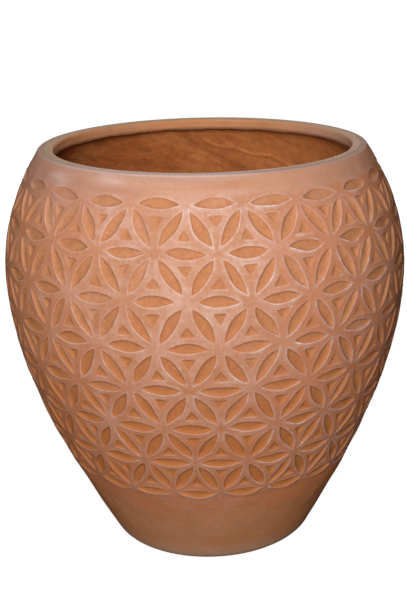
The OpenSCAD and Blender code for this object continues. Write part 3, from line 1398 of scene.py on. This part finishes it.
@dataclass
class RimLip(TurnedPiece):
    """The lip inside the rim, cast by hand, with an uneven lower edge that is rounded off."""

    steps: int = 264
    role: ClassVar[Role] = Role("cast_lip", "rim_lip", Slot.LIP, LipResin())
    round_top: float = 0.004
    top_steps: int = 6
    face_steps: int = 5
    seam: float = 0.0003
    sag: float = 0.0016
    mean_sag: float = 0.4
    least_sag: float = -0.2
    coarse_scale: float = 2.2
    fine_scale: float = 5.3
    fine_share: float = 0.5
    ripple: float = 0.0005
    ripple_scale: float = 3.0
    ripple_rise: float = 120
    face_depth: float = 0.006
    top_kept: float = 0.004
    sag_fade: float = 0.010
    noise_radius: float = 3.1
    low_edge: tuple[Pair, ...] = ((0.0, 0.0015), (0.0006, 0.0005), (0.002, 0.0))

    def uneven(self, radius: float, z: float, angle: float) -> tuple[float, float, float]:
        """Ripple the inner face and vary the height of its lower edge.

        Args:
            radius: Radius.
            z: Height.
            angle: Angle from the front.

        Returns:
            The moved radius and height, and how creased the point is.
        """
        face = clamped((self.wall.mouth_radius + self.face_depth - radius) / self.face_depth)
        low = clamped((self.wall.height - self.top_kept - z) / self.sag_fade)
        where = noise_place(self.noise_radius, angle)
        fine = noise.noise(where * self.fine_scale + Vector((9, 0, 0)))
        lump = noise.noise(where * self.coarse_scale) + self.fine_share * fine
        small = noise.noise(where * self.ripple_scale + Vector((0, 7, z * self.ripple_rise)))
        rise = face * low * self.sag * max(self.least_sag, lump + self.mean_sag)
        return radius + face * self.ripple * (small + 1), z + rise, 0.0

    def section(self) -> list[Pair]:
        """Lay out the section, from the foot of the lip's outer side inwards, up and over the top.

        Returns:
            Radius and height of its points.
        """
        wall, mouth = self.wall, self.wall.mouth_radius
        low, top = wall.height - wall.lip_height, wall.height - self.seam
        seam = wall.inner(wall.height, wall.shell_wall)
        path = [(wall.inner(top, wall.shell_wall), top)]
        path += [(seam, wall.height), (seam - self.seam, wall.height)]
        shoulder = wall.height - self.round_top
        path += arc((mouth + self.round_top, shoulder), self.round_top, math.pi / 2, math.pi, self.top_steps)
        face = wall.lip_height - self.round_top - self.low_edge[0][1]
        path += [(mouth, shoulder - face * i / self.face_steps) for i in range(1, self.face_steps + 1)]
        path += [(mouth + inset, low + rise) for inset, rise in self.low_edge[1:]]
        path += [(wall.inner(low, wall.shell_wall), low)]
        return path[::-1]


@dataclass(frozen=True)
class Crease:
    """A fold in the glass mat, as a run of points round and up the inside."""

    points: tuple[Pair, ...]
    height: float = 0.0018
    width: float = 0.0024

    def at(self, angle: float, z: float, radius: float) -> float:
        """Measure how much of the fold shows at a point.

        Args:
            angle: Angle from the front.
            z: Height.
            radius: Radius.

        Returns:
            Its share, from 0 to 1.
        """
        best = 1.0
        for (a0, z0), (a1, z1) in zip(self.points, self.points[1:]):
            run = Vector(((a1 - a0) * radius, z1 - z0))
            off = Vector(((angle - a0) * radius, z - z0))
            best = min(best, (off - run * clamped(off.dot(run) / run.length_squared)).length)
        return math.exp(-(best / self.width) ** 2)


@dataclass
class InnerLaminate(TurnedPiece):
    """The glass-mat lining, brushed with resin, creased and lumpy."""

    steps: int = 440
    role: ClassVar[Role] = Role("mat_lining", "inner_laminate", Slot.MAT, MatResin())
    values: ClassVar[tuple[PointValue, ...]] = (PointValue.CREASE,)
    levels: int = 70
    plain_levels: int = 40
    outer_skip: int = 10
    creased_z: float = 0.42
    lump: float = 0.0014
    mean_lump: float = 0.3
    least_lump: float = -0.2
    lump_scale: float = 16
    creases: tuple[Crease, ...] = (
        Crease(((2.99, 0.507), (2.90, 0.497), (2.81, 0.489), (2.70, 0.489), (2.62, 0.480), (2.55, 0.470))),
        Crease(((3.12, 0.512), (3.05, 0.503), (2.96, 0.500))),
        Crease(((3.13, 0.489), (3.15, 0.476), (3.17, 0.460), (3.20, 0.440))),
        Crease(((3.21, 0.486), (3.15, 0.476))),
    )

    def uneven(self, radius: float, z: float, angle: float) -> tuple[float, float, float]:
        """Raise lumps and creases on the inner face, and leave the outer one as it is.

        Args:
            radius: Radius.
            z: Height.
            angle: Angle from the front.

        Returns:
            The moved radius and height, and how creased the point is.
        """
        if radius > self.wall.inner(z, (self.wall.lining + self.wall.shell_wall) / 2):
            return radius, z, 0.0
        lump = rough_noise(noise_place(radius, angle, z) * self.lump_scale)
        fold = max(c.at(angle, z, radius) for c in self.creases)
        crease = max(c.height for c in self.creases) * fold
        raised = min(1.0, max(self.least_lump, lump + self.mean_lump))
        return radius + self.lump * raised - crease, z, fold

    def section(self) -> list[Pair]:
        """Lay out the section, up the inner face and down the outer one.

        Returns:
            Radius and height of its points.
        """
        wall = self.wall
        heights = evenly(wall.floor_z, self.creased_z, self.plain_levels)[:-1]
        heights += evenly(self.creased_z, wall.height - wall.lip_height, self.levels)
        outer = [(wall.inner(z, wall.shell_wall), z) for z in heights[::self.outer_skip]]
        return [(wall.inner(z, wall.lining), z) for z in heights] + outer[::-1]


@dataclass
class FloorPlate(TurnedPiece):
    """The floor plate with its drain hole."""

    steps: int = 192
    role: ClassVar[Role] = Role("floor_disc", "base_plate", Slot.FLOOR, FLOOR_RESIN)
    values: ClassVar[tuple[PointValue, ...]] = (PointValue.CREASE,)
    drain_radius: float = 0.0125
    bands: int = 16
    ripple: float = 0.0004
    ripple_scale: float = 40
    ripple_fade: float = 0.01

    def uneven(self, radius: float, z: float, angle: float) -> tuple[float, float, float]:
        """Lower the top face unevenly, away from the drain hole and the wall.

        Args:
            radius: Radius.
            z: Height.
            angle: Angle from the front.

        Returns:
            The moved radius and height, and how creased the point is.
        """
        wall = self.wall
        if z < (wall.flange_thick + wall.floor_z) / 2:
            return radius, z, 0.0
        clear = clamped((radius - self.drain_radius - self.ripple_fade) / self.ripple_fade)
        clear *= clamped((wall.inner(wall.floor_z, wall.shell_wall) - radius) / self.ripple_fade)
        lump = rough_noise(noise_place(radius, angle) * self.ripple_scale)
        return radius, z - self.ripple * clear * (lump + 1) / 2, 0.0

    def section(self) -> list[Pair]:
        """Lay out the section, inwards under the plate and out again over its top face.

        Returns:
            Radius and height of its points.
        """
        wall = self.wall
        low, high = wall.flange_thick, wall.floor_z
        top = evenly(wall.inner(high, wall.shell_wall), self.drain_radius, self.bands)
        under = evenly(self.drain_radius, wall.inner(low, wall.shell_wall), self.bands // 2)
        return [(radius, low) for radius in under[::-1]] + [(radius, high) for radius in top[::-1]]


@dataclass
class FloorTape(TurnedPiece):
    """The glass tape that fills the corner between the floor and the wall."""

    steps: int = 264
    role: ClassVar[Role] = Role("corner_tape", "base_tape", Slot.TAPE, TapeResin())
    leg: float = 0.024
    edge: float = 0.0015
    hollow: float = 0.0045
    fray: float = 0.0012
    fray_reach: float = 0.004
    fray_radius: float = 9
    curve_steps: int = 12

    def start(self) -> Vector:
        """Return radius and height of the upper edge of the tape's end on the floor."""
        wall = self.wall
        return Vector((wall.inner(wall.floor_z, wall.lining) - self.leg, wall.floor_z + self.edge))

    def uneven(self, radius: float, z: float, angle: float) -> tuple[float, float, float]:
        """Fray the tape's inner edge.

        Args:
            radius: Radius.
            z: Height.
            angle: Angle from the front.

        Returns:
            The moved radius and height, and how creased the point is.
        """
        thin = clamped((self.start().x + self.fray_reach - radius) / self.fray_reach)
        return radius + thin * self.fray * (noise.noise(noise_place(self.fray_radius, angle)) + 1), z, 0.0

    def section(self) -> list[Pair]:
        """Lay out the section, from the tape's end on the floor up its hollow face and down the wall.

        Returns:
            Radius and height of its points.
        """
        wall = self.wall
        floor, top = wall.floor_z, wall.floor_z + self.leg
        low, high = wall.inner(floor, wall.lining), wall.inner(top, wall.lining)
        start = self.start()
        knee = Vector((low - self.hollow, floor + self.hollow))
        end = Vector((high - self.edge, top))
        curve: list[Pair] = []
        for t in evenly(0, 1, self.curve_steps):
            curve.append(tuple(start * (1 - t) ** 2 + knee * (2 * t * (1 - t)) + end * t ** 2))
        return [(low - self.leg, floor), *curve, (high, top), (low, floor)]


@dataclass
class DrainPlug(TurnedPiece):
    """The rubber plug that lifts out of the drain hole."""

    steps: int = 96
    role: ClassVar[Role] = Role("rubber_plug", "drain_plug", Slot.RUBBER, PlugRubber(), Body.PLUG)
    closed: ClassVar[bool] = False
    stem_radius: float = 0.01242
    stem_end: float = 0.003
    chamfer: float = 0.001
    head_radius: float = 0.0205
    head_thick: float = 0.004
    head_gap: float = 0.0002
    head_steps: int = 10
    knob_radius: float = 0.009
    knob_height: float = 0.009
    knob_rise: float = 0.020
    knob_steps: int = 16
    neck_radius: float = 0.005
    neck_steps: int = 6

    def section(self) -> list[Pair]:
        """Lay out half the section, from the top of the knob down to the foot of the stem.

        Returns:
            Radius and height of its points.
        """
        head = self.wall.floor_z + self.head_gap
        edge = self.head_thick / 2
        neck = (self.neck_radius + edge, head + self.head_thick + edge)
        knob_z = head + self.head_thick + self.knob_rise - self.knob_height / 2
        path = [(0.0, self.stem_end), (self.stem_radius - self.chamfer, self.stem_end)]
        path += [(self.stem_radius, self.stem_end + self.chamfer), (self.stem_radius, head)]
        path += arc((self.head_radius - edge, head + edge), edge, -math.pi / 2, math.pi / 2, self.head_steps)
        path += arc(neck, edge, 1.5 * math.pi, math.pi, self.neck_steps)
        knob = arc((0, 0), 1, -math.acos(self.neck_radius / self.knob_radius), math.pi / 2, self.knob_steps)
        path += [(max(x, 0.0) * self.knob_radius, knob_z + y * self.knob_height / 2) for x, y in knob]
        return path[::-1]


@dataclass(frozen=True)
class Lamp:
    """A soft round lamp that looks at a point on the planter's axis. Azimuth 0 is in front."""

    name: str
    power: float
    size: float
    distance: float
    azimuth: float
    elevation: float
    aim: float = 0.35

    def hang(self) -> None:
        """Hang the lamp."""
        data = bpy.data.lights.new(self.name, "AREA")
        data.shape = "DISK"
        data.energy = self.power
        data.size = self.size
        azimuth, elevation = math.radians(self.azimuth), math.radians(self.elevation)
        towards = Vector((math.sin(azimuth) * math.cos(elevation), -math.cos(azimuth) * math.cos(elevation),
                          math.sin(elevation)))
        hung = linked(self.name, data)
        hung.rotation_mode = "QUATERNION"
        hung.rotation_quaternion = towards.to_track_quat("Z", "Y")
        hung.location = Vector((0.0, 0.0, self.aim)) + towards * self.distance


@dataclass
class Studio:
    """The pale floor, the soft lamps and the camera."""

    floor_reach: float = 30.0
    floor_grey: Colour = (0.14, 0.14, 0.14)
    floor_lift: float = 0.95
    lift_reach: Pair = (0.9, 2.2)
    world_light: float = 0.022
    lamps: tuple[Lamp, ...] = (
        Lamp("key", power=77.0, size=1.0, distance=3.0, azimuth=-4.5, elevation=21),
        Lamp("top", power=8.0, size=1.2, distance=2.25, azimuth=0.0, elevation=90),
        Lamp("back", power=30.0, size=1.6, distance=3.0, azimuth=172, elevation=14),
    )
    camera_back: float = 1.5756
    camera_height: float = 0.8295
    camera_pitch: float = 0.30811
    camera_yaw: float = 0.04944
    camera_roll: float = -0.01272
    focal_pixels: float = 1188.43
    crop_shift_pixels: float = 60.0
    sensor: float = 36.0
    clip: Pair = (0.05, 100.0)

    @staticmethod
    def seen(bench: NodeBench) -> Wire:
        """Tell rays that show the room from rays that light it.

        Args:
            bench: The bench of the floor or the room.

        Returns:
            1 where the room is seen, straight or in gloss or glass, and 0 elsewhere.
        """
        path = bench.node("ShaderNodeLightPath").outputs
        shown = Wire(bench, path["Is Camera Ray"])
        for name in ("Is Glossy Ray", "Is Transmission Ray"):
            shown = shown.maths("MAXIMUM", Wire(bench, path[name]))
        return shown

    def floor(self) -> None:
        """Lay the plain floor. Seen by the camera it is lifted to white, and it keeps the shadow."""
        r = self.floor_reach
        data = bpy.data.meshes.new("studio_floor")
        data.from_pydata([(-r, -r, 0), (r, -r, 0), (r, r, 0), (-r, r, 0)], [], [(0, 1, 2, 3)])
        made = linked("studio_floor", data)
        material = bpy.data.materials.new("studio_floor")
        material.use_nodes = True
        bench = NodeBench(material.node_tree)
        matt = bench.node("ShaderNodeBsdfDiffuse", {}, {"Color": (*self.floor_grey, 1)})
        away = Wire(bench, bench.vector("LENGTH", bench.node("ShaderNodeTexCoord").outputs["Object"]))
        lift = away.ramp(*self.lift_reach) * (1 - self.floor_lift) + self.floor_lift
        strength = self.seen(bench) * lift
        glow = bench.node("ShaderNodeEmission", {}, {"Color": (1, 1, 1, 1), "Strength": strength})
        both = bench.node("ShaderNodeAddShader", {}, {0: matt.outputs[0], 1: glow.outputs[0]})
        bench.node("ShaderNodeOutputMaterial", {}, {"Surface": both.outputs[0]})
        data.materials.append(material)

    def room(self) -> None:
        """Light the room evenly and weakly. Seen by the camera it is white."""
        world = bpy.data.worlds.new("room")
        world.use_nodes = True
        bench = NodeBench(world.node_tree)
        strength = self.world_light + self.seen(bench) * (1 - self.world_light)
        sky = bench.node("ShaderNodeBackground", {}, {"Color": (1, 1, 1, 1), "Strength": strength})
        bench.node("ShaderNodeOutputWorld", {}, {"Surface": sky.outputs[0]})
        bpy.context.scene.world = world

    def camera(self) -> None:
        """Set the camera where the photograph was taken from."""
        data = bpy.data.cameras.new("camera")
        data.sensor_width = self.sensor
        data.lens = self.focal_pixels * self.sensor / PHOTO_HEIGHT
        data.shift_x = -self.crop_shift_pixels / PHOTO_HEIGHT
        data.clip_start, data.clip_end = self.clip
        p, y, r = self.camera_pitch, self.camera_yaw, self.camera_roll
        ahead = Vector((math.sin(y) * math.cos(p), math.cos(y) * math.cos(p), -math.sin(p)))
        right = Vector((math.cos(y), -math.sin(y), 0.0))
        up = right.cross(ahead)
        right, up = right * math.cos(r) + up * math.sin(r), up * math.cos(r) - right * math.sin(r)
        turn = Matrix((right, up, -ahead)).transposed().to_4x4()
        made = linked("camera", data)
        made.matrix_world = Matrix.Translation((0.0, -self.camera_back, self.camera_height)) @ turn
        bpy.context.scene.camera = made

    def build(self) -> None:
        """Set up the whole studio."""
        self.floor()
        for lamp in self.lamps:
            lamp.hang()
        self.room()
        self.camera()
        bpy.context.scene.view_settings.view_transform = "Standard"


def main() -> None:
    """Build the studio and every piece."""
    logging.basicConfig(level=logging.INFO, format="%(message)s")
    Studio().build()
    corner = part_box("outer_shell")[1]
    wall = Wall(height=corner.z, belly_radius=0.271)
    for part in (CarvedShell(wall), RimLip(wall), InnerLaminate(wall), FloorPlate(wall), FloorTape(wall),
                 DrainPlug(wall)):
        piece = part.build()
        triangles = sum(len(face.vertices) - 2 for face in piece.data.polygons)
        LOG.info("%s: %d triangles, built by %s", piece.name, triangles, type(part).__name__)


if __name__ == "__main__":
    main()
